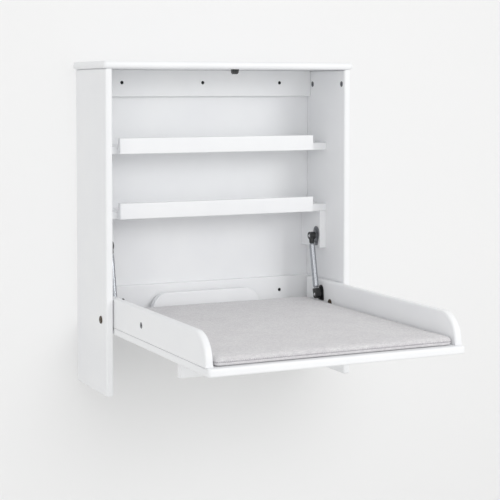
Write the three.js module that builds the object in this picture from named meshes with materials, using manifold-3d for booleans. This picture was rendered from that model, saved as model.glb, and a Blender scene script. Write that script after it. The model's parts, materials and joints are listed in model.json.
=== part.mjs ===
// Wall-mounted changing table whose tray folds up to close a shallow cabinet.
// Millimetres, +Z up, +X to the right of someone facing it, wall plane at y = 0, open tray towards -Y.
// The origin is the centre of the six-screw fixing pattern on the wall plane.
import * as THREE from 'three';
import { mergeVertices } from 'three/addons/utils/BufferGeometryUtils.js';
import Module from 'manifold-3d';

const wasm = await Module();
wasm.setup();

// ---- driving dimensions --------------------------------------------------------------------------
const width = 660;            // over the two side panels
const depth = 218;            // wall plane to the front edge of a side panel
const boardT = 18;            // every lacquered board
const sideH = 779.5;          // side panel, and so the underside of the top panel
const overhang = 6;           // top panel past the sides and the front
const seam = 0.25;            // glue line or rubbing gap between neighbouring pieces
const arris = 2.5;            // rounding of the visible board edges
const sideArris = 5;          // softer rounding round the side panels

const backT = 16;
const railH = 70;
const lowerRailZ = 165.4;     // underside of the lower rail: the open tray bears up against it
const upperRailZ = 712;       // underside of the upper rail, which runs up to the top panel
const shelfFront = 96; // front edge of a shelf, measured back from the cabinet front
const shelfZ = { upper: 573, lower: 414 };
const lipH = 39;
const lipInset = 47;          // lip end to side panel, so the cheeks can pass
const strutBlock = { height: 97, front: 96 };

const pivot = { fromFront: 38, z: 180.5 };
const tray = { below: 33.5, front: 592, rear: 162, sideGap: 1.5 }; // board underside and reach from the pivot
const cheek = { height: 70, front: 577, rear: 131, corner: 61, arris: 5 };
const endStop = { length: 296, height: 50, rear: 140, corner: 40 };
const gripRail = { length: 571, depth: 40, thick: 21, fromPivot: 377 };
const mat = { length: 698, thick: 20, rear: 120.5, sideGap: 3, corner: 9 };

const screw = { pitch: 220, headR: 4.3, headT: 2.6, shankR: 2.4, length: 33 };
const cam = { r: 7.3, depth: 12.5, boltR: 3.2, fromEdge: 36, front: 16, rear: 173 };
const cheekCam = { y: -215, aboveBoard: 33 };
const bolt = { headR: 9.5, headT: 2.2, shankR: 3.9, nutR: 5.2, capR: 9.5, capT: 2.4 };
const closingStop = { topWidth: 18, width: 14, depth: 10, height: 12, fromCentre: 18 };

const strut = {
  x: 278,                     // strut centre plane from the middle of the cabinet
  upper: { fromFront: 114, z: 348 },
  lower: { fromPivot: 46, abovePivot: 17 },
  bodyR: 7.5, rodR: 3, bodyTop: 20, socketR: 10, socketIn: 5.8, socketOut: 8.4, studR: 4,
  footAbove: 16, footBelow: 10.5, footGap: 1.5,
};

// ---- derived places ------------------------------------------------------------------------------
const halfIn = width / 2 - boardT;                     // inner face of a side panel
const front = -depth;
const pivotY = front + pivot.fromFront;
const upperScrewZ = upperRailZ + railH / 2;
const lowerScrewZ = lowerRailZ + railH / 2;
const originZ = (upperScrewZ + lowerScrewZ) / 2;
const boardTop = boardT - tray.below;                  // tray board's upper face, from the pivot
const cheekOut = halfIn - tray.sideGap;                // outer face of a cheek
const cheekIn = cheekOut - boardT;
const blockIn = halfIn - boardT;                       // inner face of a strut block

// ---- materials -----------------------------------------------------------------------------------
const finish = (color, roughness, metalness) => new THREE.MeshStandardMaterial({ color, roughness, metalness });
const lacquer = finish(0xf4f5f6, 0.35, 0);
const steel = finish(0xb9bcc0, 0.3, 1);
const chrome = finish(0xd8dadc, 0.12, 1);
const zinc = finish(0x8d8f92, 0.45, 1);
const bronze = finish(0x4a4238, 0.4, 0.9);
const blackPlastic = finish(0x151617, 0.45, 0);
const fabric = finish(0xcfcdcf, 0.9, 0);

// ---- solids --------------------------------------------------------------------------------------
function toSolid(geometry) {
  const bare = geometry.clone();
  bare.deleteAttribute('normal');
  bare.deleteAttribute('uv');
  const merged = mergeVertices(bare, 1e-4);
  const index = merged.index.array;
  const triVerts = [];
  for (let i = 0; i < index.length; i += 3) {
    const [a, b, c] = [index[i], index[i + 1], index[i + 2]];
    if (a !== b && b !== c && c !== a) triVerts.push(a, b, c);   // a pole's slivers are left out
  }
  const vertProperties = new Float32Array(merged.attributes.position.array);
  const solid = new wasm.Manifold(new wasm.Mesh({
    numProp: 3, vertProperties, triVerts: new Uint32Array(triVerts),
  }));
  if (solid.volume() <= 0) throw new Error('inside out');
  return solid;
}

function toGeometry(solid) {
  const mesh = solid.getMesh();
  const geometry = new THREE.BufferGeometry();
  geometry.setAttribute('position', new THREE.BufferAttribute(new Float32Array(mesh.vertProperties), 3));
  geometry.setIndex(new THREE.BufferAttribute(new Uint32Array(mesh.triVerts), 1));
  geometry.computeVertexNormals();
  return geometry;
}

function cut(geometry, ...tools) {
  return toGeometry(tools.reduce((solid, tool) => solid.subtract(toSolid(tool)), toSolid(geometry)));
}

function join(geometry, ...others) {
  return toGeometry(others.reduce((solid, other) => solid.add(toSolid(other)), toSolid(geometry)));
}

// Local axes of an extrusion through each thin direction: [outline X, outline Y, extrusion].
const frames = {
  x: [[0, 1, 0], [0, 0, 1], [1, 0, 0]],
  y: [[0, 0, 1], [1, 0, 0], [0, 1, 0]],
  z: [[1, 0, 0], [0, 1, 0], [0, 0, 1]],
};

// A board cut to an outline and extruded through its thickness, with rounded arrises.
function slab(outline, thin, from, to, round, segments = 2, curveSegments = 5) {
  const geometry = new THREE.ExtrudeGeometry(outline, {
    depth: to - from - 2 * round,
    bevelEnabled: round > 0,
    bevelThickness: round,
    bevelSize: round,
    bevelOffset: -round,
    bevelSegments: segments,
    curveSegments,
  });
  geometry.translate(0, 0, from + round);
  const [a, b, c] = frames[thin].map((axis) => new THREE.Vector3(...axis));
  return geometry.applyMatrix4(new THREE.Matrix4().makeBasis(a, b, c));
}

// Rectangle with its own radius at each corner, from lower left anticlockwise.
function rectangle(x0, x1, y0, y1, radii = [0, 0, 0, 0]) {
  const shape = new THREE.Shape();
  const [ll, lr, ur, ul] = radii;
  shape.moveTo(x0 + ll, y0);
  shape.lineTo(x1 - lr, y0);
  if (lr) shape.absarc(x1 - lr, y0 + lr, lr, -Math.PI / 2, 0);
  shape.lineTo(x1, y1 - ur);
  if (ur) shape.absarc(x1 - ur, y1 - ur, ur, 0, Math.PI / 2);
  shape.lineTo(x0 + ul, y1);
  if (ul) shape.absarc(x0 + ul, y1 - ul, ul, Math.PI / 2, Math.PI);
  shape.lineTo(x0, y0 + ll);
  if (ll) shape.absarc(x0 + ll, y0 + ll, ll, Math.PI, 1.5 * Math.PI);
  return shape;
}

// A plain rectangular board between two corners, thin along one axis.
function board(x, y, z, thin, round = arris) {
  const outline = { x: [...y, ...z], y: [...z, ...x], z: [...x, ...y] }[thin];
  const through = { x, y, z }[thin];
  return slab(rectangle(...outline), thin, ...through, round);
}

const axisTurn = { x: [0, 0, -Math.PI / 2], y: [0, 0, 0], z: [Math.PI / 2, 0, 0] };

// A turned piece: profile points are [radius, height along the axis], from low to high.
function turned(profile, axis, at = [0, 0, 0], segments = 16) {
  const points = profile.map(([r, h]) => new THREE.Vector2(r, h));
  const geometry = new THREE.LatheGeometry(points, segments);
  geometry.applyMatrix4(new THREE.Matrix4().makeRotationFromEuler(new THREE.Euler(...axisTurn[axis])));
  return geometry.translate(...at);
}

function rod(r, from, to, axis, at = [0, 0, 0], segments = 16) {
  return turned([[0, from], [r, from], [r, to], [0, to]], axis, at, segments);
}

const box = (x, y, z) => slab(rectangle(x[0], x[1], y[0], y[1]), 'z', z[0], z[1], 0);

// ---- assembly ------------------------------------------------------------------------------------
const model = new THREE.Group();
const cabinet = new THREE.Group();
cabinet.position.z = -originZ;
model.add(cabinet);
const trayGroup = new THREE.Group();
trayGroup.position.set(0, pivotY, pivot.z);
cabinet.add(trayGroup);

// Hang a piece in a group, with its mesh centred on its own origin.
function add(group, name, geometry, material) {
  geometry.computeBoundingBox();
  const centre = geometry.boundingBox.getCenter(new THREE.Vector3());
  geometry.translate(-centre.x, -centre.y, -centre.z);
  const mesh = new THREE.Mesh(geometry, material);
  mesh.name = name;
  mesh.position.copy(centre);
  group.add(mesh);
}

const sides = [['left', -1], ['right', 1]];
const span = (side, inner, outer) => (side > 0 ? [inner, outer] : [-outer, -inner]);

// Side panels: bored for the tray pivot and, from inside, for the corner cams and their bolts.
const camZ = sideH - cam.fromEdge;
for (const [hand, side] of sides) {
  const outline = rectangle(front, 0, 0, sideH - seam, [6, 0, 0, 0]);
  const panel = slab(outline, 'x', ...span(side, halfIn, width / 2), sideArris, 4, 4);
  const tools = [rod(bolt.shankR + 0.3, -30, 30, 'x', [side * (halfIn + boardT / 2), pivotY, pivot.z])];
  for (const back of [cam.front, cam.rear]) {
    const at = [side * halfIn, front + back, camZ];
    tools.push(rod(cam.r + 0.2, -cam.depth, cam.depth, 'x', at));
    tools.push(rod(cam.boltR + 0.3, 0, 60, 'z', [side * (halfIn + boardT / 2), front + back, camZ], 8));
  }
  add(cabinet, `${hand}_side_panel`, cut(panel, ...tools), lacquer);
}

// Top panel: rounded on the front and both ends, square against the wall, tapped for the cam bolts.
{
  const reach = width / 2 + overhang;
  const round = 8;
  const outline = rectangle(-reach, reach, front - overhang, 20, [10, 10, 0, 0]);
  const tools = [box([-400, 400], [0, 60], [sideH - 20, sideH + 40])];
  for (const [, side] of sides) {
    for (const back of [cam.front, cam.rear]) {
      tools.push(rod(cam.boltR + 0.3, -1, 13, 'z', [side * (halfIn + boardT / 2), front + back, sideH], 8));
    }
  }
  add(cabinet, 'top_panel', cut(slab(outline, 'z', sideH, sideH + boardT, round, 5), ...tools), lacquer);
}

// Corner cams, flush with the inner face of the side panels, and the bolts that they draw down.
const camSlot = (x, y, z, side) => [
  box([x - 1.6 * side - 1.6, x - 1.6 * side + 1.6], [y - 4.6, y + 4.6], [z - 0.8, z + 0.8]),
  box([x - 1.6 * side - 1.6, x - 1.6 * side + 1.6], [y - 0.8, y + 0.8], [z - 4.6, z + 4.6]),
];

function camDisc(group, name, x, y, z, side) {
  const disc = rod(cam.r, -(cam.depth - 0.8), 0, 'x');
  if (side > 0) disc.rotateZ(Math.PI);
  disc.translate(x + side * 0.3, y, z);
  const shaft = rod(cam.boltR + 0.4, 0, 20, 'z', [x + side * 9, y, z], 8);
  add(group, name, cut(disc, shaft, ...camSlot(x + side * 0.3, y, z, -side)), zinc);
}

for (const [hand, side] of sides) {
  for (const [place, back] of [['front', cam.front], ['rear', cam.rear]]) {
    camDisc(cabinet, `${hand}_${place}_cam`, side * halfIn, front + back, camZ, side);
    const boltPiece = turned([
      [0, 1], [2, 1], [cam.boltR, 2.5], [cam.boltR, 4], [1.8, 5], [1.8, 9], [cam.boltR, 10],
      [cam.boltR, cam.fromEdge + 12], [0, cam.fromEdge + 12]], 'z', [0, 0, 0], 8);
    boltPiece.translate(side * (halfIn + boardT / 2), front + back, camZ);
    add(cabinet, `${hand}_${place}_cam_bolt`, boltPiece, steel);
  }
}

// Back panel and the two fixing rails in front of it, pierced for the wall screws.
const screwXs = [['left', -screw.pitch], ['centre', 0], ['right', screw.pitch]];
const rails = [
  ['upper_rail', 'upper', upperScrewZ, upperRailZ, sideH - seam],
  ['lower_rail', 'lower', lowerScrewZ, lowerRailZ, lowerRailZ + railH],
];
const railFront = -backT - boardT;
const screwBore = (x, z, r, from, to) => rod(r, from, to, 'y', [x, 0, z], 12);
const inside = [-halfIn + seam, halfIn - seam];
{
  const bores = screwXs.flatMap(([, x]) => rails.map(([, , z]) => screwBore(x, z, screw.shankR + 0.3, -30, 5)));
  const panel = board(inside, [-backT, 0], [lowerRailZ, sideH - seam], 'y', 0.8);
  add(cabinet, 'back_panel', cut(panel, ...bores), lacquer);
}
for (const [name, level, z, low, high] of rails) {
  const rail = board(inside, [railFront, -backT - seam], [low, high], 'y', 1.5);
  const bores = screwXs.map(([, x]) => screwBore(x, z, screw.shankR + 0.3, -60, 0));
  const seats = screwXs.map(([, x]) => screwBore(x, z, screw.headR + 0.3, railFront - 5, railFront + screw.headT));
  add(cabinet, name, cut(rail, ...bores, ...seats), lacquer);
  for (const [place, x] of screwXs) {
    const head = railFront + screw.headT - 0.3;
    const shape = turned([
      [0, head - screw.headT + 0.3], [2.6, head - screw.headT + 0.3], [screw.headR, head - screw.headT + 1.2],
      [screw.headR, head], [screw.shankR, head], [screw.shankR, -0.3], [0, -0.3]], 'y', [0, 0, 0], 12);
    const slots = [[2.1, 0.55], [0.55, 2.1]].map(([a, b]) => (
      box([-a, a], [head - screw.headT - 1, head - screw.headT + 1.7], [-b, b])));
    const piece = cut(shape, ...slots);
    piece.translate(x, 0, z);
    add(cabinet, `${level}_rail_screw_${place}`, piece, blackPlastic);
  }
}

// Two shelves, each with a raised front lip that stops short of the sides.
for (const [level, z] of Object.entries(shelfZ)) {
  const lipFront = front + shelfFront - boardT;
  add(cabinet, `${level}_shelf`, board(inside, [front + shelfFront, -backT - seam], [z, z + boardT], 'z', 1), lacquer);
  const ends = [-halfIn + lipInset, halfIn - lipInset];
  const lip = board(ends, [lipFront, lipFront + boardT - seam], [z, z + lipH], 'y', arris);
  add(cabinet, `${level}_shelf_lip`, lip, lacquer);
}

// Blocks below the lower shelf bring the upper strut brackets flush with the cheeks.
for (const [hand, side] of sides) {
  const z = [shelfZ.lower - strutBlock.height, shelfZ.lower - seam];
  const block = board(span(side, blockIn, halfIn - seam), [front + strutBlock.front, -backT - seam], z, 'x', 1.2);
  add(cabinet, `${hand}_strut_block`, block, lacquer);
}

// Stop under the top panel that the closed tray comes to rest against: a wedge with a shallow dimple.
{
  const { fromCentre, topWidth, width: lowWidth, depth: stopDepth, height } = closingStop;
  const closedFace = pivotY - tray.below + boardT;     // tray board's inner face when it is folded up
  const y = [closedFace + 0.4, closedFace + 0.4 + stopDepth];
  const outline = new THREE.Shape();
  outline.moveTo(-seam, -topWidth / 2);
  outline.lineTo(-seam, topWidth / 2);
  outline.lineTo(-height + 3, lowWidth / 2 + 0.6);
  outline.lineTo(-height, lowWidth / 2 - 2.4);
  outline.lineTo(-height, -lowWidth / 2 + 2.4);
  outline.lineTo(-height + 3, -lowWidth / 2 - 0.6);
  const wedge = slab(outline, 'y', ...y, 0);
  wedge.translate(fromCentre, 0, sideH);
  const dimple = rod(2.4, y[0] - 3, y[0] + 1.2, 'y', [fromCentre, 0, sideH - height / 2 - 0.5]);
  add(cabinet, 'closing_stop', cut(wedge, dimple), blackPlastic);
}

// ---- tray, modelled about the pivot axis ---------------------------------------------------------
const boardBottom = -tray.below;
{
  const outline = rectangle(-cheekOut, cheekOut, -tray.front, tray.rear, [8, 8, 0, 0]);
  const panel = slab(outline, 'z', boardBottom, boardTop, 5, 4, 4);
  const bores = sides.flatMap(([, side]) => [
    rod(cam.boltR + 0.3, boardTop - 13, boardTop + 5, 'z', [side * (cheekOut - boardT / 2), cheekCam.y, 0], 8),
  ]);
  add(trayGroup, 'tray_board', cut(panel, ...bores), lacquer);
}

for (const [hand, side] of sides) {
  const low = boardTop + seam;
  const outline = rectangle(-cheek.front, cheek.rear, low, boardTop + cheek.height, [0, 0, 8, cheek.corner]);
  const plank = slab(outline, 'x', ...span(side, cheekIn, cheekOut), cheek.arris, 3, 8);
  const mid = side * (cheekIn + cheekOut) / 2;
  const camAt = [side * cheekOut, cheekCam.y, boardTop + cheekCam.aboveBoard];
  const tools = [
    rod(bolt.nutR + 0.3, -30, 30, 'x', [mid, 0, 0]),
    rod(cam.r + 0.2, -cam.depth, cam.depth, 'x', camAt),
    rod(cam.boltR + 0.3, -60, 0, 'z', [mid, camAt[1], camAt[2]], 8),
  ];
  add(trayGroup, `${hand}_cheek`, cut(plank, ...tools), lacquer);

  const disc = rod(cam.r, -(cam.depth - 0.8), 0, 'x');
  if (side < 0) disc.rotateZ(Math.PI);
  disc.translate(camAt[0] - side * 0.3, camAt[1], camAt[2]);
  const shaft = rod(cam.boltR + 0.4, -20, 0, 'z', [mid, camAt[1], camAt[2]], 8);
  const slots = camSlot(camAt[0] - side * 0.3, camAt[1], camAt[2], side);
  add(trayGroup, `${hand}_cheek_cam`, cut(disc, shaft, ...slots), zinc);
  const boltPiece = turned([
    [0, -cheekCam.aboveBoard - 12], [cam.boltR, -cheekCam.aboveBoard - 12], [cam.boltR, -10], [1.8, -9],
    [1.8, -5], [cam.boltR, -4], [cam.boltR, -2.5], [2, -1], [0, -1]], 'z', [0, 0, 0], 8);
  boltPiece.translate(mid, camAt[1], camAt[2]);
  add(trayGroup, `${hand}_cheek_cam_bolt`, boltPiece, steel);
}

// End stop behind the mat, and the grip rail under the board that faces outwards when it is closed.
{
  const half = endStop.length / 2;
  const radii = [0, endStop.corner, endStop.corner, 0];
  const outline = rectangle(boardTop + seam, boardTop + endStop.height, -half, half, radii);
  const stop = slab(outline, 'y', endStop.rear - boardT, endStop.rear, 2, 2, 6);
  add(trayGroup, 'end_stop', stop, lacquer);
  const y = [-gripRail.fromPivot - gripRail.thick / 2, -gripRail.fromPivot + gripRail.thick / 2];
  const z = [boardBottom - gripRail.depth, boardBottom - seam];
  const grip = board([-gripRail.length / 2, gripRail.length / 2], y, z, 'y', 2.5);
  add(trayGroup, 'grip_rail', grip, lacquer);
}

// Changing mat, resting on the board between the cheeks.
{
  const half = cheekIn - mat.sideGap;
  const y = [mat.rear - mat.length, mat.rear];
  const outline = rectangle(-half, half, ...y, Array(4).fill(mat.corner));
  add(trayGroup, 'changing_mat', slab(outline, 'z', boardTop + 0.4, boardTop + 0.4 + mat.thick, 3, 2, 3), fabric);
}

// Pivot bolts: a low domed head outside, a spacer washer in the gap, a sleeve nut through the cheek.
for (const [hand, side] of sides) {
  const at = [0, pivotY, pivot.z];
  const outer = width / 2 + 0.3;
  const head = turned([
    [0, cheekOut + 0.1 - outer], [bolt.shankR, cheekOut + 0.1 - outer], [bolt.shankR, 0], [bolt.headR, 0],
    [bolt.headR, 0.8], [bolt.headR - 1.2, bolt.headT - 0.4], [bolt.headR - 3.2, bolt.headT], [0, bolt.headT]], 'x');
  const socket = new THREE.CylinderGeometry(2.9, 2.9, 3, 6);
  socket.rotateZ(-Math.PI / 2).translate(bolt.headT, 0, 0);
  const piece = cut(head, socket);
  if (side < 0) piece.rotateZ(Math.PI);
  piece.translate(side * outer, at[1], at[2]);
  add(cabinet, `${hand}_pivot_bolt`, piece, bronze);

  const washer = cut(rod(9, cheekOut + 0.3, halfIn - 0.3, 'x'),
    rod(bolt.shankR + 0.3, cheekOut - 5, halfIn + 5, 'x'));
  if (side < 0) washer.rotateZ(Math.PI);
  washer.translate(0, at[1], at[2]);
  add(cabinet, `${hand}_pivot_washer`, washer, blackPlastic);

  const sleeve = turned([
    [0, cheekIn - 0.3 - bolt.capT], [bolt.capR - 2, cheekIn - 0.3 - bolt.capT],
    [bolt.capR, cheekIn - 0.9], [bolt.capR, cheekIn - 0.3], [bolt.nutR, cheekIn - 0.3],
    [bolt.nutR, cheekOut - 0.2], [0, cheekOut - 0.2]], 'x');
  if (side < 0) sleeve.rotateZ(Math.PI);
  sleeve.translate(0, at[1], at[2]);
  add(cabinet, `${hand}_pivot_nut`, sleeve, bronze);
}

// ---- gas struts ----------------------------------------------------------------------------------
// From the stud on the block down to the stud on the cheek; the rod is nearly all inside when open.
const upperStud = new THREE.Vector2(front + strut.upper.fromFront, strut.upper.z);
const lowerStud = new THREE.Vector2(pivotY + strut.lower.fromPivot, pivot.z + strut.lower.abovePivot);
const reach = upperStud.distanceTo(lowerStud);
const lean = Math.atan2(upperStud.x - lowerStud.x, upperStud.y - lowerStud.y);
const plateFace = { upper: blockIn - 0.3, lower: cheekIn - 0.3 };

const plateT = 2.4;
const plates = {                // reach below and above the stud, half widths low and high, screw holes
  upper: { low: -26, high: 24, foot: 6, half: 15, holes: [-17, 16.5] },
  lower: { low: -15.5, high: 24, foot: 13, half: 13, holes: [-11, 16.5] },
};

// Leaf-shaped bracket plate with two screw holes, flat against its board.
function bracketPlate(side, face, { low, high, foot, half, holes }) {
  const outline = new THREE.Shape();
  outline.moveTo(-foot + 3, low);
  outline.lineTo(foot - 3, low);
  outline.quadraticCurveTo(foot, low, foot + 0.6, low + 4);
  outline.lineTo(half, 2);
  outline.bezierCurveTo(half, high * 0.75, half * 0.6, high, 0, high);
  outline.bezierCurveTo(-half * 0.6, high, -half, high * 0.75, -half, 2);
  outline.lineTo(-foot - 0.6, low + 4);
  outline.quadraticCurveTo(-foot, low, -foot + 3, low);
  const plate = slab(outline, 'x', ...span(side, face - plateT, face), 0.5, 1, 5);
  const drills = holes.map((z) => rod(2, -5, 5, 'x', [side * (face - plateT), 0, z], 8));
  return cut(plate, ...drills);
}

// Lathe profile of a stud that passes through a socket and stops against its plate.
const studProfile = (toPlate, collar) => [
  [0, -strut.socketIn - 1.6], [strut.studR - 1.4, -strut.socketIn - 1.6], [strut.studR, -strut.socketIn - 0.4],
  [strut.studR, strut.socketOut + 0.4], [strut.studR + collar, strut.socketOut + 0.4],
  [strut.studR + collar, toPlate], [0, toPlate]];

for (const [hand, side] of sides) {
  const arm = new THREE.Group();
  arm.position.set(side * strut.x, upperStud.x, upperStud.y);
  arm.rotation.x = -lean;
  cabinet.add(arm);

  const outward = (geometry) => (side < 0 ? geometry.rotateZ(Math.PI) : geometry);
  const footTop = -reach + strut.footAbove;
  const bodyEnd = footTop + strut.footGap;

  // Upper end: a socket eye with its stud, which turn with the strut against the flat plate.
  const eye = rod(strut.socketR, -strut.socketIn, strut.socketOut, 'x', [0, 0, 0], 20);
  const neck = turned([
    [0, -strut.bodyTop], [5.6, -strut.bodyTop], [6.6, -strut.bodyTop + 2], [6.8, -5], [0, -5]], 'z');
  const eyeBore = rod(strut.studR + 0.3, -20, 20, 'x');
  add(arm, `${hand}_upper_socket`, outward(cut(join(eye, neck), eyeBore)), blackPlastic);
  const upperGap = plateFace.upper - plateT - 0.4 - strut.x;
  add(arm, `${hand}_upper_stud`, outward(turned(studProfile(upperGap, 2.4), 'x')), chrome);

  // Pressure tube, open at its lower end round the rod.
  const tube = turned([
    [0, bodyEnd], [strut.bodyR - 2.5, bodyEnd], [strut.bodyR - 1, bodyEnd + 1.2],
    [strut.bodyR - 0.2, bodyEnd + 3.5], [strut.bodyR, bodyEnd + 5],
    [strut.bodyR, -strut.bodyTop - 5], [strut.bodyR - 0.8, -strut.bodyTop - 2],
    [strut.bodyR - 2.8, -strut.bodyTop - seam], [0, -strut.bodyTop - seam]], 'z', [0, 0, 0], 20);
  const bore = rod(strut.rodR + 0.3, bodyEnd - 5, -40, 'z', [0, 0, 0], 12);
  add(arm, `${hand}_strut_tube`, cut(tube, bore), steel);
  add(arm, `${hand}_strut_rod`, rod(strut.rodR, footTop - 4, -42, 'z', [0, 0, 0], 12), chrome);

  // Lower end: a blocky socket with a round foot, turning on the stud fixed to the cheek.
  const socketOutline = rectangle(-9, 9, -reach - strut.footBelow, footTop, [8.9, 8.9, 2, 2]);
  const block = slab(socketOutline, 'x', -strut.socketIn, strut.socketOut, 0.8, 1, 5);
  const studBore = rod(strut.studR + 0.3, -20, 20, 'x', [0, 0, -reach]);
  const rodSeat = rod(strut.rodR + 0.3, footTop - 4.3, footTop + 14, 'z', [0, 0, 0], 12);
  add(arm, `${hand}_lower_socket`, outward(cut(block, studBore, rodSeat)), blackPlastic);

  const upperPlate = bracketPlate(side, plateFace.upper, plates.upper);
  upperPlate.translate(0, upperStud.x, upperStud.y);
  add(cabinet, `${hand}_upper_bracket`, upperPlate, zinc);

  const [y, z] = [strut.lower.fromPivot, strut.lower.abovePivot];
  const lowerPlate = bracketPlate(side, plateFace.lower, plates.lower);
  lowerPlate.translate(0, y, z);
  const lowerGap = plateFace.lower - plateT - 0.05 - strut.x;
  const pin = outward(turned(studProfile(lowerGap, 2), 'x')).translate(side * strut.x, y, z);
  add(trayGroup, `${hand}_lower_bracket`, lowerPlate, blackPlastic);
  add(trayGroup, `${hand}_lower_stud`, pin, chrome);
}

export default model;
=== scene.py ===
# Wall-mounted changing table: lacquered cabinet, fold-down tray, gas struts and a padded mat.
import json
import math

import bmesh
import bpy
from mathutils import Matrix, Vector, noise
from mathutils.bvhtree import BVHTree


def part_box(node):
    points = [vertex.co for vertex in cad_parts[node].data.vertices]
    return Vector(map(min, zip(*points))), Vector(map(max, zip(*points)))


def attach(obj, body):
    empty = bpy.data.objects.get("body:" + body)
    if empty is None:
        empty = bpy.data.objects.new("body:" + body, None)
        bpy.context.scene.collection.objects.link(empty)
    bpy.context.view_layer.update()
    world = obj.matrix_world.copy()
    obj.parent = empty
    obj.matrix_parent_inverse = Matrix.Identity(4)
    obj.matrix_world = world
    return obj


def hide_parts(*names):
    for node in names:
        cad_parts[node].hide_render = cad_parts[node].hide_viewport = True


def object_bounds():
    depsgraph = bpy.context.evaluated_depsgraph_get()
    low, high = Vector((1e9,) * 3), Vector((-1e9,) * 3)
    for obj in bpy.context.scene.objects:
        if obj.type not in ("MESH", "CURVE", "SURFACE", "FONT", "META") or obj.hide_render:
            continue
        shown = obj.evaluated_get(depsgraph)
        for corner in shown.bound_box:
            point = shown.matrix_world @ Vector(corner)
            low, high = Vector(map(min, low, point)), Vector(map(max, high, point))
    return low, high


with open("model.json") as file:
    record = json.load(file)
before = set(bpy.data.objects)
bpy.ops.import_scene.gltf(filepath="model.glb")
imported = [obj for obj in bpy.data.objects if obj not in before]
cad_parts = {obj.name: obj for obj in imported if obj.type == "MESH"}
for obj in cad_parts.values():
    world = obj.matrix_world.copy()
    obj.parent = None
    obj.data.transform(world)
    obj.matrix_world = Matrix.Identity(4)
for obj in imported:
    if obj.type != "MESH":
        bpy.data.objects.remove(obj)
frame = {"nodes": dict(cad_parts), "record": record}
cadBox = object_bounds()
nodes = frame["nodes"]
mm = 0.001
mixFirst, mixSecond, mixResult = 6, 7, 2   # the colour sockets of a mix node
print("frame loaded:", len(nodes), "nodes")


# small helpers
def hexColour(text):
    values = [int(text[i:i + 2], 16) / 255 for i in (1, 3, 5)]   # sRGB hex to linear
    linear = [v / 12.92 if v <= 0.04045 else ((v + 0.055) / 1.055) ** 2.4 for v in values]
    return (*linear, 1.0)


def addNode(tree, kind, inputs=None, **settings):
    node = tree.nodes.new(kind)
    for key, value in settings.items():
        setattr(node, key, value)
    for key, value in (inputs or {}).items():
        if isinstance(value, bpy.types.NodeSocket):
            tree.links.new(value, node.inputs[key])
        else:
            node.inputs[key].default_value = value
    return node


def newMaterial(name):
    material = bpy.data.materials.new(name)
    material.use_nodes = True
    tree = material.node_tree
    tree.nodes.clear()
    place = addNode(tree, "ShaderNodeTexCoord").outputs["Object"]
    return material, tree, place


def finishMaterial(tree, shader):
    addNode(tree, "ShaderNodeOutputMaterial", {"Surface": shader.outputs["BSDF"]})


def grain(tree, place, size, detail=2.0, roughness=0.5):
    node = addNode(tree, "ShaderNodeTexNoise",
                   {"Vector": place, "Scale": 1 / (size * mm), "Detail": detail, "Roughness": roughness})
    return node.outputs["Fac"]


def between(tree, factor, low, high, lowAt=0.35, highAt=0.65):
    ramp = addNode(tree, "ShaderNodeMapRange", {
        "Value": factor, "From Min": lowAt, "From Max": highAt, "To Min": low, "To Max": high})
    return ramp.outputs["Result"]


def twoTone(tree, factor, first, second, lowAt=0.3, highAt=0.7):
    ramp = addNode(tree, "ShaderNodeMapRange", {"Value": factor, "From Min": lowAt, "From Max": highAt})
    mix = addNode(tree, "ShaderNodeMix", {
        "Factor": ramp.outputs["Result"], mixFirst: hexColour(first), mixSecond: hexColour(second)},
        data_type="RGBA")
    return mix.outputs[mixResult]


def bumpFrom(tree, height, distance, strength=1.0):
    node = addNode(tree, "ShaderNodeBump", {
        "Height": height, "Distance": distance * mm, "Strength": strength})
    return node.outputs["Normal"]


# finishes
lacquerLook = {"light": "#F7F8F9", "shade": "#F3F4F6", "patch": 140, "peel": 2.2, "peelHeight": 0.012,
               "rub": 35, "smoothest": 0.33, "roughest": 0.39}


def satinLacquer():
    # 2K lacquer sprayed on MDF: an even white with a soft satin sheen and the faintest orange peel
    material, tree, place = newMaterial("satin_lacquer")
    cloud = grain(tree, place, lacquerLook["patch"], 3)
    peel = grain(tree, place, lacquerLook["peel"], 1)
    rub = grain(tree, place, lacquerLook["rub"], 3)
    shader = addNode(tree, "ShaderNodeBsdfPrincipled", {
        "Base Color": twoTone(tree, cloud, lacquerLook["shade"], lacquerLook["light"]),
        "Roughness": between(tree, rub, lacquerLook["smoothest"], lacquerLook["roughest"]), "IOR": 1.5,
        "Normal": bumpFrom(tree, peel, lacquerLook["peelHeight"])})
    finishMaterial(tree, shader)
    return material


fabricLook = {"light": "#F3F2F2", "mid": "#E5E4E5", "fleck": "#C3C1C4", "worn": "#E9E6EA", "yarn": 1.5,
              "thin": 0.22, "slub": 9, "cloud": 45, "fleckShare": 0.55, "wornShare": 0.25, "wander": 1.2,
              "weaveHeight": 0.16}


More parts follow.
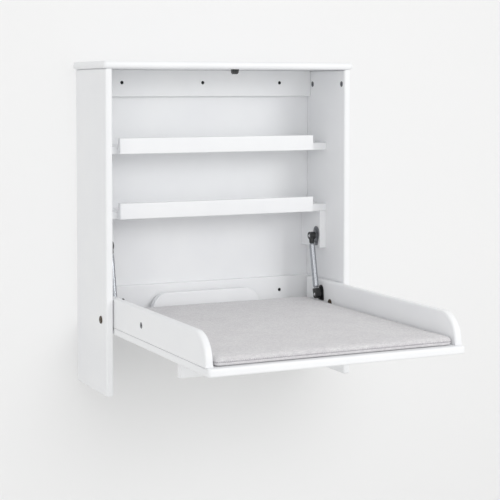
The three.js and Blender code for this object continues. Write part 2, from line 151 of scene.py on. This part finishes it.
def melangeCotton():
    # plain-woven cotton from mixed light and dark fibres: matt, heathered, with slubs along both threads
    material, tree, place = newMaterial("melange_cotton")
    yarn = fabricLook["yarn"]                        # real yarn is 0.6 mm, drawn coarser so that it shows
    threads = []
    thin = fabricLook["thin"]
    for stretch in ((thin, 1, 1), (1, thin, 1)):     # flecks run along the weft, then along the warp
        turned = addNode(tree, "ShaderNodeMapping", {"Vector": place, "Scale": stretch})
        threads.append(grain(tree, turned.outputs["Vector"], yarn, 3, 0.65))
    both = addNode(tree, "ShaderNodeMath", {0: threads[0], 1: threads[1]}, operation="ADD").outputs[0]
    half = addNode(tree, "ShaderNodeMath", {0: both, 1: 0.5}, operation="MULTIPLY").outputs[0]
    slub = grain(tree, place, fabricLook["slub"], 4, 0.6)
    cloud = grain(tree, place, fabricLook["cloud"], 2)
    base = twoTone(tree, slub, fabricLook["mid"], fabricLook["light"], 0.35, 0.65)
    flecks = between(tree, half, fabricLook["fleckShare"], 0.0, 0.42, 0.62)
    mixed = addNode(tree, "ShaderNodeMix", {
        "Factor": flecks, mixFirst: base, mixSecond: hexColour(fabricLook["fleck"])}, data_type="RGBA")
    worn = addNode(tree, "ShaderNodeMix", {
        "Factor": between(tree, cloud, 0.0, fabricLook["wornShare"]), mixFirst: mixed.outputs[mixResult],
        mixSecond: hexColour(fabricLook["worn"])}, data_type="RGBA", blend_type="MULTIPLY")
    waves = []
    for axis in ("X", "Y", "Z"):
        wave = addNode(tree, "ShaderNodeTexWave", {
            "Vector": place, "Scale": 0.5 / (yarn * mm), "Distortion": fabricLook["wander"], "Detail": 2.0,
            "Detail Scale": 1.5}, bands_direction=axis)
        waves.append(wave.outputs["Fac"])
    weave = addNode(tree, "ShaderNodeMath", {0: waves[0], 1: waves[1]}, operation="ADD").outputs[0]
    weave = addNode(tree, "ShaderNodeMath", {0: weave, 1: waves[2]}, operation="ADD").outputs[0]
    relief = addNode(tree, "ShaderNodeMath", {0: weave, 1: half}, operation="ADD").outputs[0]
    shader = addNode(tree, "ShaderNodeBsdfPrincipled", {
        "Base Color": worn.outputs[mixResult], "Roughness": 0.92, "IOR": 1.45, "Sheen Weight": 0.25,
        "Sheen Roughness": 0.5, "Normal": bumpFrom(tree, relief, fabricLook["weaveHeight"], 0.8)})
    finishMaterial(tree, shader)
    return material


def metal(name, colour, roughness, speckSize, speckHeight, metallic=1.0):
    material, tree, place = newMaterial(name)
    speck = grain(tree, place, speckSize, 3)
    darker = "#" + "".join(f"{int(int(colour[i:i + 2], 16) * 0.9):02X}" for i in (1, 3, 5))
    shader = addNode(tree, "ShaderNodeBsdfPrincipled", {
        "Base Color": twoTone(tree, speck, darker, colour), "Metallic": metallic,
        "Roughness": between(tree, speck, roughness * 0.85, roughness * 1.15),
        "Normal": bumpFrom(tree, speck, speckHeight)})
    finishMaterial(tree, shader)
    return material


def drawnSteel():
    # cold-drawn strut tube, zinc plated: satin, with faint drawing lines along its length
    material, tree, place = newMaterial("drawn_steel")
    lines = addNode(tree, "ShaderNodeMapping", {"Vector": place, "Scale": (1, 1, 0.03)})
    drawn = grain(tree, lines.outputs["Vector"], 0.7, 2)
    shader = addNode(tree, "ShaderNodeBsdfPrincipled", {
        "Base Color": twoTone(tree, drawn, "#9EA1A6", "#B9BCC1"), "Metallic": 1.0,
        "Roughness": between(tree, drawn, 0.22, 0.34), "Normal": bumpFrom(tree, drawn, 0.01)})
    finishMaterial(tree, shader)
    return material


def mouldedNylon():
    # glass-filled nylon, moulded: near black, satin, with a fine spark-eroded skin
    material, tree, place = newMaterial("moulded_nylon")
    skin = grain(tree, place, 0.8, 2)
    shader = addNode(tree, "ShaderNodeBsdfPrincipled", {
        "Base Color": twoTone(tree, skin, "#131415", "#1E2022"), "IOR": 1.53,
        "Roughness": between(tree, skin, 0.3, 0.42), "Normal": bumpFrom(tree, skin, 0.02)})
    finishMaterial(tree, shader)
    return material


def thread():
    # polyester sewing thread for the stitches, a shade darker than the cover; the same dark grey on the lower
    # piping is painted shade, the shadow line of the seam groove
    material, tree, place = newMaterial("seam_shade_and_thread")
    twist = grain(tree, place, 0.9, 1)
    shader = addNode(tree, "ShaderNodeBsdfPrincipled", {
        "Base Color": twoTone(tree, twist, "#86838A", "#A8A5AC"), "Roughness": 0.6, "IOR": 1.5,
        "Normal": bumpFrom(tree, twist, 0.05)})
    finishMaterial(tree, shader)
    return material


finishes = {
    "white_lacquer": satinLacquer(),
    "mat_fabric": melangeCotton(),
    "plated_steel": drawnSteel(),
    "polished_chrome": metal("polished_chrome", "#D9DADD", 0.1, 4, 0.002),
    "zinc_casting": metal("zinc_casting", "#8B8D91", 0.42, 0.9, 0.02),
    "black_steel": metal("blackened_steel", "#232426", 0.38, 0.8, 0.015, 0.6),
    "dark_bronze": metal("dark_bronze", "#574C3F", 0.36, 0.9, 0.01, 0.9),
    "black_plastic": mouldedNylon(),
}
seamShadeAndThreadFinish = thread()
slotOf = {row["node"]: row["material_slot"] for row in frame["record"]["subparts"]}
for name, node in nodes.items():
    for place in node.material_slots:
        place.material = finishes[slotOf[name]]
print("finishes assigned")


def keep(piece, body, material):
    piece.data.materials.clear()
    piece.data.materials.append(material)
    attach(piece, body)
    return piece


def bodyOf(node):
    return next(b for b, names in frame["record"]["behaviour"]["bodies"].items() if node in names)


def newObject(name, mesh):
    piece = bpy.data.objects.new(name, mesh)
    bpy.context.scene.collection.objects.link(piece)
    return piece


def mergedMesh(node, name):
    mesh = nodes[node].data.copy()
    mesh.name = name
    work = bmesh.new()
    work.from_mesh(mesh)
    bmesh.ops.remove_doubles(work, verts=work.verts, dist=1e-6)
    return mesh, work


# boards and turned pieces with their rounded edges shaded as true curves
smoothed = {
    "suffixes": {"side_panel": "side_board", "cheek": "cheek_board", "strut_tube": "strut_cylinder",
                 "strut_rod": "strut_piston_rod", "upper_socket": "upper_eye", "lower_socket": "lower_eye",
                 "upper_stud": "upper_ball_stud", "lower_stud": "lower_ball_stud",
                 "pivot_bolt": "pivot_bolt_head", "pivot_nut": "pivot_sleeve"},
    "whole": {"top_panel": "top_board", "tray_board": "tray_base", "end_stop": "end_board",
              "grip_rail": "grip_batten", "upper_shelf_lip": "upper_lip", "lower_shelf_lip": "lower_lip",
              "closing_stop": "closing_bumper"},
    "angle": 38, "flatShare": 80,
    "square": {"left_cheek": ("below", 5.1), "right_cheek": ("below", 5.1), "tray_board": ("above", 2.6)},
}


def squareJoint(work, node):
    # the cheeks stand flush on the tray board: no rounding on either side of the glued joint
    side, depth = smoothed["square"][node]
    low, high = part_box(node)
    for vert in work.verts:
        near = vert.co.z < low[2] + depth * mm if side == "below" else vert.co.z > high[2] - depth * mm
        if near and vert.co.x < low[0] + depth * mm:
            vert.co.x = low[0]
        elif near and vert.co.x > high[0] - depth * mm:
            vert.co.x = high[0]


def smoothPiece(node, name):
    mesh, work = mergedMesh(node, name)
    if node in smoothed["square"]:
        squareJoint(work, node)
    limit = math.radians(smoothed["angle"])
    for face in work.faces:
        face.smooth = True
    for edge in work.edges:
        edge.smooth = edge.calc_face_angle(0) < limit
    work.to_mesh(mesh)
    work.free()
    piece = newObject(name, mesh)
    weighting = piece.modifiers.new("flatFaces", "WEIGHTED_NORMAL")
    weighting.keep_sharp = True
    weighting.weight = smoothed["flatShare"]
    keep(piece, bodyOf(node), finishes[slotOf[node]])
    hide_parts(node)
    return piece


renamed = dict(smoothed["whole"])
for hand in ("left", "right"):
    renamed.update({f"{hand}_{old}": f"{hand}_{new}" for old, new in smoothed["suffixes"].items()})
for node, name in renamed.items():
    smoothPiece(node, name)
print("smoothed pieces:", len(renamed))


# geometry-node tools
def newTree(name, inputs):
    tree = bpy.data.node_groups.new(name, "GeometryNodeTree")
    tree.interface.new_socket("Geometry", in_out="INPUT", socket_type="NodeSocketGeometry")
    for label, kind, value in inputs:
        socket = tree.interface.new_socket(label, in_out="INPUT", socket_type=kind)
        if kind != "NodeSocketMaterial":
            socket.default_value = value
    tree.interface.new_socket("Geometry", in_out="OUTPUT", socket_type="NodeSocketGeometry")
    return tree, addNode(tree, "NodeGroupInput")


def endTree(tree, geometry, material):
    real = addNode(tree, "GeometryNodeRealizeInstances", {"Geometry": geometry})
    painted = addNode(tree, "GeometryNodeSetMaterial", {"Geometry": real.outputs[0], "Material": material})
    addNode(tree, "NodeGroupOutput", {"Geometry": painted.outputs[0]})


def grow(base, tree, values, name):
    # run a tree on a base object with its sizes set, and keep the result as a plain mesh
    modifier = base.modifiers.new("grow", "NODES")
    modifier.node_group = tree
    for item in tree.interface.items_tree:
        if item.in_out == "INPUT" and item.name in values:
            modifier[item.identifier] = values[item.name]
    bpy.context.view_layer.update()
    grown = base.evaluated_get(bpy.context.evaluated_depsgraph_get())
    mesh = bpy.data.meshes.new_from_object(grown)
    mesh.name = name
    base.modifiers.remove(modifier)
    bpy.data.objects.remove(base)
    return newObject(name, mesh)


def pointsObject(name, points, facings=None):
    mesh = bpy.data.meshes.new(name)
    mesh.from_pydata([tuple(p) for p in points], [], [])
    if facings:
        facing = mesh.attributes.new("facing", "FLOAT_VECTOR", "POINT")
        for item, value in zip(facing.data, facings):
            item.vector = value
    return newObject(name, mesh)


def loopObject(name, points):
    curve = bpy.data.curves.new(name, "CURVE")
    curve.dimensions = "3D"
    spline = curve.splines.new("POLY")
    spline.points.add(len(points) - 1)
    for item, point in zip(spline.points, points):
        item.co = (*point, 1)
    spline.use_cyclic_u = True
    return newObject(name, curve)


# pan-head screws that hold the strut brackets
bracketScrews = {"radius": 3.7, "height": 2.0, "recess": 1.1, "recessWidth": 0.9, "recessLength": 4.2,
                 "facets": 28, "rimShare": 0.45, "crownShare": 0.55, "crownTop": 0.62, "bite": 0.05,
                 "fromEnds": {"upper": (9, 7.5), "lower": (4.5, 7.5)}}


def screwTree():
    tree, sizes = newTree("panScrews", [
        ("Radius", "NodeSocketFloat", 0.0037), ("Height", "NodeSocketFloat", 0.002),
        ("Recess", "NodeSocketFloat", 0.0011), ("Recess Width", "NodeSocketFloat", 0.0009),
        ("Recess Length", "NodeSocketFloat", 0.0042), ("Material", "NodeSocketMaterial", None)])
    made = sizes.outputs

    def scaled(value, share):
        return addNode(tree, "ShaderNodeMath", {0: value, 1: share}, operation="MULTIPLY").outputs[0]

    def lifted(shape, height):
        up = addNode(tree, "ShaderNodeCombineXYZ", {"Z": height})
        return addNode(tree, "GeometryNodeTransform", {
            "Geometry": shape.outputs["Mesh"], "Translation": up.outputs[0]}).outputs[0]

    facets = bracketScrews["facets"]
    rimHeight = scaled(made["Height"], bracketScrews["rimShare"])
    rim = addNode(tree, "GeometryNodeMeshCylinder", {
        "Vertices": facets, "Radius": made["Radius"], "Depth": rimHeight})
    crown = addNode(tree, "GeometryNodeMeshCone", {
        "Vertices": facets, "Side Segments": 3,
        "Radius Top": scaled(made["Radius"], bracketScrews["crownTop"]), "Radius Bottom": made["Radius"],
        "Depth": scaled(made["Height"], bracketScrews["crownShare"])})
    head = addNode(tree, "GeometryNodeMeshBoolean", operation="UNION")
    for shape in (lifted(rim, scaled(rimHeight, 0.5)), lifted(crown, rimHeight)):
        tree.links.new(shape, head.inputs["Mesh 2"])
    cross = addNode(tree, "GeometryNodeMeshBoolean", {"Mesh 1": head.outputs["Mesh"]}, operation="DIFFERENCE")
    for long, wide in (("Recess Length", "Recess Width"), ("Recess Width", "Recess Length")):
        size = addNode(tree, "ShaderNodeCombineXYZ", {
            "X": made[long], "Y": made[wide], "Z": scaled(made["Recess"], 2.0)})
        cube = addNode(tree, "GeometryNodeMeshCube", {"Size": size.outputs[0]})
        tree.links.new(lifted(cube, made["Height"]), cross.inputs["Mesh 2"])
    facing = addNode(tree, "GeometryNodeInputNamedAttribute", {"Name": "facing"}, data_type="FLOAT_VECTOR")
    turn = addNode(tree, "FunctionNodeAlignRotationToVector", {
        "Vector": facing.outputs["Attribute"]}, axis="Z")
    placed = addNode(tree, "GeometryNodeInstanceOnPoints", {
        "Points": made["Geometry"], "Instance": cross.outputs["Mesh"], "Rotation": turn.outputs["Rotation"]})
    endTree(tree, placed.outputs[0], made["Material"])
    return tree


panScrews = screwTree()
# the upper screws take the lighter zinc grey and the lower ones blackened steel, like their brackets; the
# brackets are alike parts, so the lighter grey of the upper ones is painted light
for level, body, finish in (("upper", "cabinet", "zinc_casting"), ("lower", "tray", "black_steel")):
    points, facings = [], []
    for hand, side in (("left", -1), ("right", 1)):
        low, high = (Vector(corner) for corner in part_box(f"{hand}_{level}_bracket"))
        inner = high.x if side < 0 else low.x
        below, above = (offset * mm for offset in bracketScrews["fromEnds"][level])
        for z in (low.z + below, high.z - above):
            points.append((inner - side * bracketScrews["bite"] * mm, (low.y + high.y) / 2, z))
            facings.append((-side, 0, 0))
    sizes = {"Radius": bracketScrews["radius"] * mm, "Height": bracketScrews["height"] * mm,
             "Recess": bracketScrews["recess"] * mm, "Recess Width": bracketScrews["recessWidth"] * mm,
             "Recess Length": bracketScrews["recessLength"] * mm, "Material": finishes[finish]}
    screws = grow(pointsObject("points", points, facings), panScrews, sizes, f"{level}_bracket_screws")
    keep(screws, body, finishes[finish])
print("bracket screws made")


# padded changing mat: foam in a sewn cover, swollen by a cloth simulation and flat underneath
matCover = {"voxel": 5.0, "sideShrink": 1.2, "topShrink": 2.0, "pressure": 4.0, "frames": 20,
            "quality": 4, "cap": 2.2, "ripple": 0.5, "ripplePitch": 95, "sag": 0.9, "sagReach": 12,
            "seams": (8.2, 16.6), "seamPull": 0.8, "seamReach": 1.8, "seamBand": 8, "underlap": 0.25,
            "sideLimit": 0.15, "rearLimit": 0.5}


def evaluatedMesh(piece, name):
    bpy.context.view_layer.update()
    mesh = bpy.data.meshes.new_from_object(piece.evaluated_get(bpy.context.evaluated_depsgraph_get()))
    mesh.name = name
    return mesh


def matBlank(low, high):
    mesh, work = mergedMesh("changing_mat", "matBlank")
    centre = (low + high) / 2
    shrink = Vector([1 - 2 * matCover["sideShrink"] * mm / (high[i] - low[i]) for i in (0, 1)] +
                    [1 - matCover["topShrink"] * mm / (high.z - low.z)])
    for vert in work.verts:
        local = vert.co - Vector((centre.x, centre.y, low.z))
        vert.co = Vector((centre.x, centre.y, low.z)) + local * shrink
    work.to_mesh(mesh)
    work.free()
    blank = newObject("matBlank", mesh)
    cells = blank.modifiers.new("cells", "REMESH")
    cells.mode = "VOXEL"
    cells.voxel_size = matCover["voxel"] * mm
    fine = evaluatedMesh(blank, "matCells")
    bpy.data.objects.remove(blank)
    return newObject("matCells", fine)


def swell(blank):
    rest = [v.co.copy() for v in blank.data.vertices]
    cloth = blank.modifiers.new("cloth", "CLOTH")
    cloth.settings.use_pressure = True
    cloth.settings.uniform_pressure_force = matCover["pressure"]
    cloth.settings.effector_weights.gravity = 0
    cloth.settings.quality = matCover["quality"]
    cloth.point_cache.frame_start = 1
    cloth.point_cache.frame_end = matCover["frames"]
    scene = bpy.context.scene
    for step in range(1, matCover["frames"] + 1):
        scene.frame_set(step)
    swollen = evaluatedMesh(blank, "matSwollen")
    places = [v.co.copy() for v in swollen.vertices]
    blank.modifiers.remove(cloth)
    scene.frame_set(1)
    bpy.data.meshes.remove(swollen)
    return rest, places


def sewnMat():
    low, high = (Vector(corner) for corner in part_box("changing_mat"))
    blank = matBlank(low, high)
    rest, swollen = swell(blank)
    cap = matCover["cap"] * mm
    reach = matCover["sagReach"] * mm
    top = high.z - low.z
    limit = matCover["sideLimit"] * mm
    rearLimit = matCover["rearLimit"] * mm
    for vert, start, end in zip(blank.data.vertices, rest, swollen):
        move = end - start
        if move.length > cap:
            move *= cap / move.length
        place = start + move
        height = (place.z - low.z) / top
        edge = min(place.x - low.x, high.x - place.x, place.y - low.y, high.y - place.y)
        wave = noise.noise(Vector((place.x, place.y, 0)) / (matCover["ripplePitch"] * mm))
        place.z += height * wave * matCover["ripple"] * mm
        place.z -= max(height, 0) * matCover["sag"] * mm * math.exp(-max(edge, 0) / reach)
        if edge < matCover["seamBand"] * mm:
            inward = Vector((-math.copysign(1, place.x), 0, 0))
            if min(place.y - low.y, high.y - place.y) < min(place.x - low.x, high.x - place.x):
                inward = Vector((0, 1 if place.y - low.y < high.y - place.y else -1, 0))
            for seam in matCover["seams"]:
                near = math.exp(-(((place.z - low.z) / mm - seam) / matCover["seamReach"]) ** 2)
                place += inward * near * matCover["seamPull"] * mm
        place.z = max(place.z, low.z + matCover["underlap"] * mm)
        place.x = min(max(place.x, low.x - limit), high.x + limit)
        place.y = min(max(place.y, low.y - limit), high.y + rearLimit)
        vert.co = place
    blank.data.update()
    smooth = blank.modifiers.new("smooth", "SUBSURF")
    smooth.levels = smooth.render_levels = 1
    mesh = evaluatedMesh(blank, "changing_mat_cover")
    bpy.data.objects.remove(blank)
    cover = newObject("changing_mat_cover", mesh)
    mesh.shade_smooth()
    keep(cover, "tray", finishes["mat_fabric"])
    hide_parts("changing_mat")
    return cover, low, high


cover, matLow, matHigh = sewnMat()
print("mat cover:", len(cover.data.polygons), "faces")


# seams round the edge of the cover: two piped joins with a row of stitches between them
matSeams = {"pipe": {"lower": 0.5, "upper": 0.6}, "proud": {"pipe": 0.15, "stitch": 0.1}, "step": 9,
            "corner": 9, "arcStep": 15, "probe": 4, "pipeSides": 8, "stitchPitch": 4.2, "stitchLength": 2.6,
            "stitchWidth": 0.84, "stitchAt": 10.2}


def aroundMat(height, proud):
    # a loop round the mat at one height, laid on the cover and lifted off it by `proud`
    radius = matSeams["corner"] * mm
    arcs = []
    for x, y, start in ((matHigh.x, matHigh.y, 0), (matLow.x, matHigh.y, 90),
                        (matLow.x, matLow.y, 180), (matHigh.x, matLow.y, 270)):
        middleX = x - math.copysign(radius, x)
        middleY = y + (radius if y == matLow.y else -radius)
        turns = [math.radians(start + turn) for turn in range(0, 91, matSeams["arcStep"])]
        arcs.append([Vector((middleX + radius * math.cos(turn), middleY + radius * math.sin(turn), 0))
                     for turn in turns])
    places = []
    for index, arc in enumerate(arcs):
        places.extend(arc)
        following = arcs[(index + 1) % 4][0]
        count = max(int((following - arc[-1]).length / (matSeams["step"] * mm)), 1)
        places.extend(arc[-1].lerp(following, i / count) for i in range(1, count))
    surface = BVHTree.FromObject(cover, bpy.context.evaluated_depsgraph_get())
    middle = (matLow + matHigh) / 2
    wrapped = []
    for place in places:
        probe = Vector((place.x, place.y, matLow.z + height * mm))
        outside = probe + (probe - middle).normalized() * matSeams["probe"] * mm
        outside.z = probe.z
        point, normal, _, _ = surface.find_nearest(outside)
        wrapped.append(point + normal * matSeams["proud"][proud] * mm)
    return wrapped


def pipeTree():
    tree, sizes = newTree("seamPipe", [
        ("Radius", "NodeSocketFloat", 0.0007), ("Material", "NodeSocketMaterial", None)])
    circle = addNode(tree, "GeometryNodeCurvePrimitiveCircle", {
        "Resolution": matSeams["pipeSides"], "Radius": sizes.outputs["Radius"]})
    tube = addNode(tree, "GeometryNodeCurveToMesh", {
        "Curve": sizes.outputs["Geometry"], "Profile Curve": circle.outputs["Curve"]})
    endTree(tree, tube.outputs[0], sizes.outputs["Material"])
    return tree


def stitchTree():
    tree, sizes = newTree("stitchRow", [
        ("Pitch", "NodeSocketFloat", 0.004), ("Length", "NodeSocketFloat", 0.0026),
        ("Width", "NodeSocketFloat", 0.0004), ("Material", "NodeSocketMaterial", None)])
    made = sizes.outputs
    spots = addNode(tree, "GeometryNodeCurveToPoints", {
        "Curve": made["Geometry"], "Length": made["Pitch"]}, mode="LENGTH")
    ball = addNode(tree, "GeometryNodeMeshUVSphere", {"Segments": 6, "Rings": 4, "Radius": 0.5})
    shape = addNode(tree, "ShaderNodeCombineXYZ", {
        "X": made["Width"], "Y": made["Width"], "Z": made["Length"]})
    along = addNode(tree, "FunctionNodeAlignRotationToVector", {"Vector": spots.outputs["Tangent"]}, axis="Z")
    placed = addNode(tree, "GeometryNodeInstanceOnPoints", {
        "Points": spots.outputs["Points"], "Instance": ball.outputs["Mesh"],
        "Rotation": along.outputs["Rotation"], "Scale": shape.outputs[0]})
    endTree(tree, placed.outputs[0], made["Material"])
    return tree


pipes = pipeTree()
for label, height in zip(("lower", "upper"), matCover["seams"]):
    # the lower piping is drawn in the dark thread colour as painted shade, standing in for the shadow line of
    # the seam groove; the upper piping keeps the cover fabric
    finish = seamShadeAndThreadFinish if label == "lower" else finishes["mat_fabric"]
    values = {"Radius": matSeams["pipe"][label] * mm, "Material": finish}
    piping = grow(loopObject("loop", aroundMat(height, "pipe")), pipes, values, f"mat_{label}_piping")
    piping.data.shade_smooth()
    keep(piping, "tray", finish)
route = aroundMat(matSeams["stitchAt"], "stitch")
values = {"Pitch": matSeams["stitchPitch"] * mm, "Length": matSeams["stitchLength"] * mm,
          "Width": matSeams["stitchWidth"] * mm, "Material": seamShadeAndThreadFinish}
stitches = grow(loopObject("loop", route), stitchTree(), values, "mat_stitches")
keep(stitches, "tray", seamShadeAndThreadFinish)
print("mat seams made")


# room: a pale wall behind the cabinet and a floor well below it
room = {"wall": "#F0F0F0", "floor": "#EDEDEC", "floorDrop": 0.74, "reach": 6.0, "behind": 0.002}


def roomSurface(name, corners, colour, seeThroughFromBehind):
    mesh = bpy.data.meshes.new(name)
    mesh.from_pydata(corners, [], [(0, 1, 2, 3)])
    piece = newObject(name, mesh)
    material, tree, _ = newMaterial(name)
    paint = addNode(tree, "ShaderNodeBsdfDiffuse", {"Color": hexColour(colour), "Roughness": 0.5})
    result = paint.outputs["BSDF"]
    if seeThroughFromBehind:
        clear = addNode(tree, "ShaderNodeBsdfTransparent")
        side = addNode(tree, "ShaderNodeNewGeometry").outputs["Backfacing"]
        mix = addNode(tree, "ShaderNodeMixShader", {0: side, 1: result, 2: clear.outputs["BSDF"]})
        result = mix.outputs[0]
    addNode(tree, "ShaderNodeOutputMaterial", {"Surface": result})
    mesh.materials.append(material)
    return piece


reach = room["reach"]
floorZ = cadBox[0][2] - room["floorDrop"]
wallY = cadBox[1][1] + room["behind"]
wall = roomSurface("wall", [(-reach, wallY, floorZ), (reach, wallY, floorZ), (reach, wallY, reach),
                            (-reach, wallY, reach)], room["wall"], True)
wall.visible_shadow = False
wall.visible_diffuse = False
roomSurface("floor", [(-reach, -reach, floorZ), (reach, -reach, floorZ), (reach, reach, floorZ),
                      (-reach, reach, floorZ)], room["floor"], False)


# light: a soft key from the right front, a fill from the left front, a wash on the wall and an even sky
studio = {"sky": 0.775, "aim": (0, -0.2, -0.05),
          "key": {"turn": 28, "rise": 20, "distance": 3.6, "size": 1.5, "power": 27},
          "fill": {"turn": -30, "rise": 8, "distance": 3.8, "size": 2.4, "power": 18},
          "wallWash": {"turn": 0, "rise": 12, "distance": 3.4, "size": 1.8, "power": 42}}


def areaLight(name, turn, rise, distance, size, power):
    lamp = bpy.data.lights.new(name, "AREA")
    lamp.shape = "DISK"
    lamp.size = size
    lamp.energy = power
    light = newObject(name, lamp)
    turn, rise = math.radians(turn), math.radians(rise)
    toward = Vector((math.sin(turn) * math.cos(rise), -math.cos(turn) * math.cos(rise), math.sin(rise)))
    light.location = Vector(studio["aim"]) + toward * distance
    light.rotation_euler = toward.to_track_quat("Z", "Y").to_euler()
    return light


def linkedTo(name, pieces, state):
    group = bpy.data.collections.new(name)
    for piece in pieces:
        group.objects.link(piece)
    for item in group.collection_objects:
        item.light_linking.link_state = state
    return group


# the key and the fill spare the wall, and only the tray shades the wash
for name, state in (("key", "EXCLUDE"), ("fill", "EXCLUDE"), ("wallWash", "INCLUDE")):
    light = areaLight(name, **studio[name])
    light.light_linking.receiver_collection = linkedTo(name + "Receivers", [wall], state)
trayCasters = [bpy.data.objects[name] for name in ("tray_base", "changing_mat_cover", "grip_batten")]
light.light_linking.blocker_collection = linkedTo("washBlockers", trayCasters, "INCLUDE")
sky = bpy.data.worlds.new("sky")
sky.use_nodes = True
glow = sky.node_tree.nodes["Background"].inputs
glow["Color"].default_value = (1, 1, 1, 1)
glow["Strength"].default_value = studio["sky"]
bpy.context.scene.world = sky
bpy.context.scene.view_settings.view_transform = "Standard"


# camera to the left of the cabinet, at eye height, turned to the right and shifted down
viewer = {"eye": (-1.4540, -3.3680, 0.2598), "turn": 25.466, "drop": 2.8, "lens": 102.0, "shift": -0.1855,
          "sensor": 36, "sight": 50}
lens = bpy.data.cameras.new("camera")
lens.sensor_width = viewer["sensor"]
lens.lens = viewer["lens"]
lens.shift_y = viewer["shift"]
lens.clip_end = viewer["sight"]
camera = newObject("camera", lens)
camera.location = viewer["eye"]
camera.rotation_euler = (math.radians(90 - viewer["drop"]), 0, -math.radians(viewer["turn"]))
bpy.context.scene.camera = camera
print("room, light and camera set")
